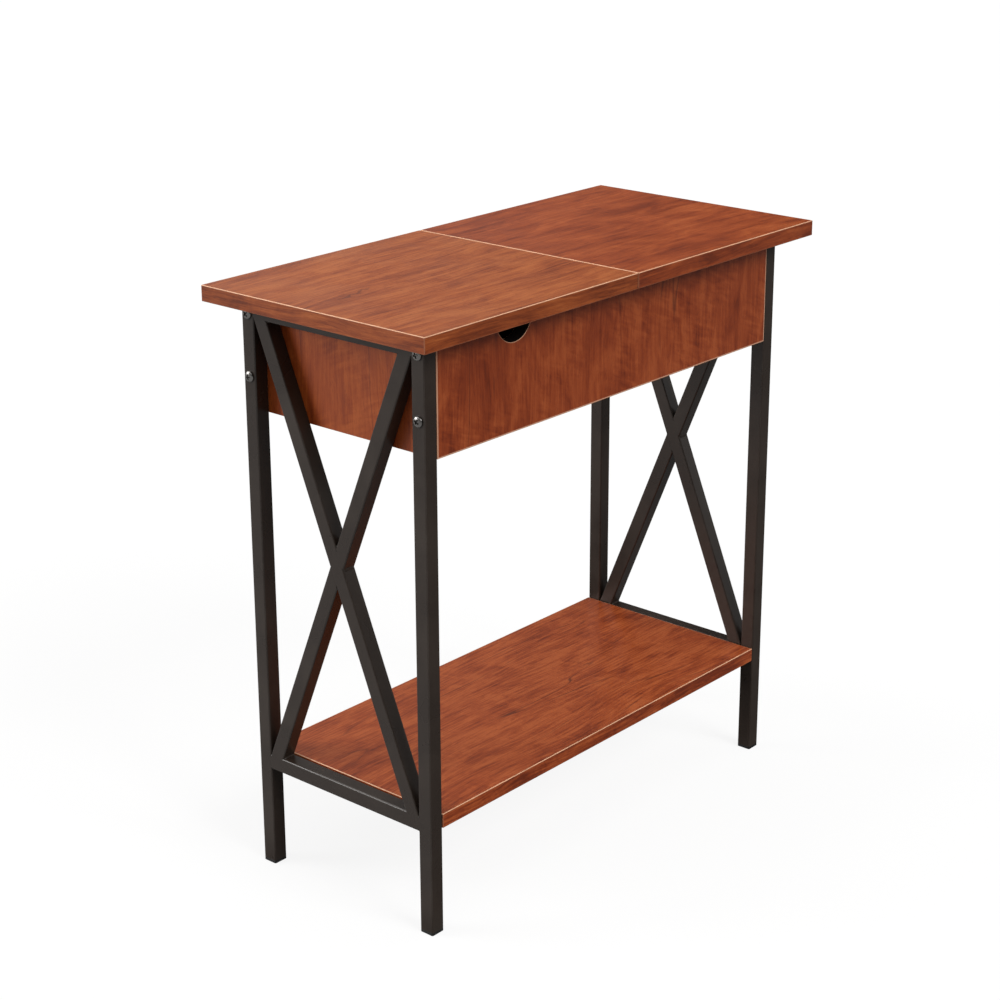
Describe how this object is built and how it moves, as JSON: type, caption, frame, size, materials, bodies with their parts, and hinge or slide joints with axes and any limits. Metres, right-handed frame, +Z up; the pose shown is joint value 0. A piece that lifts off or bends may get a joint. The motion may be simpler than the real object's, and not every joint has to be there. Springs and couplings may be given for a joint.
{
  "type": "lift top end table",
  "caption": "Narrow end table with a lifting half top over a storage box, a cable notch, X-braced tube end frames and a lower shelf",
  "frame": {"origin": "on the floor, under the middle of the top", "axes": "+X along the table from the lifting half to the fixed half, +Y from the front with the cable notch to the back, +Z up"},
  "size_m": [0.6032, 0.2858, 0.6096],
  "materials": {
    "top_board": "satin cherry woodgrain laminate, grain along the table",
    "panel_board": "satin cherry woodgrain laminate, upright grain",
    "shelf_board": "satin cherry woodgrain laminate, grain along the table",
    "hardboard": "matt hardboard",
    "black_frame": "satin black powder coat",
    "black_plastic": "matt black",
    "bolt_steel": "dark nickel",
    "zinc_steel": "zinc plated",
    "hinge_steel": "black plated"
  },
  "bodies": {
    "table": {"left_front_leg": "black_frame", "left_back_leg": "black_frame", "left_top_rail": "black_frame", "left_bottom_rail": "black_frame", "left_brace_through": "black_frame", "left_brace_lower_half": "black_frame", "left_brace_upper_half": "black_frame", "right_front_leg": "black_frame", "right_back_leg": "black_frame", "right_top_rail": "black_frame", "right_bottom_rail": "black_frame", "right_brace_through": "black_frame", "right_brace_lower_half": "black_frame", "right_brace_upper_half": "black_frame", "foot_plugs": "black_plastic", "leg_top_plugs": "black_plastic", "front_panel": "panel_board", "back_panel": "panel_board", "left_end_panel": "panel_board", "right_end_panel": "panel_board", "divider": "panel_board", "box_bottom": "hardboard", "fixed_top": "top_board", "shelf": "shelf_board", "shelf_tabs": "black_frame", "frame_bolts": "bolt_steel", "top_brackets": "zinc_steel", "hinge_plate_front": "hinge_steel", "hinge_plate_back": "hinge_steel", "hinge_studs": "zinc_steel"},
    "lid_leaf": {"lid": "top_board", "hinge_arm_front": "hinge_steel", "hinge_arm_back": "hinge_steel"}
  },
  "joints": [
    {"name": "lid_lift", "type": "hinge", "parent": "table", "child": "lid_leaf", "pos_m": [0, 0, 0.6096], "axis": [0, 1, 0], "range_deg": [0, 95]}
  ]
}
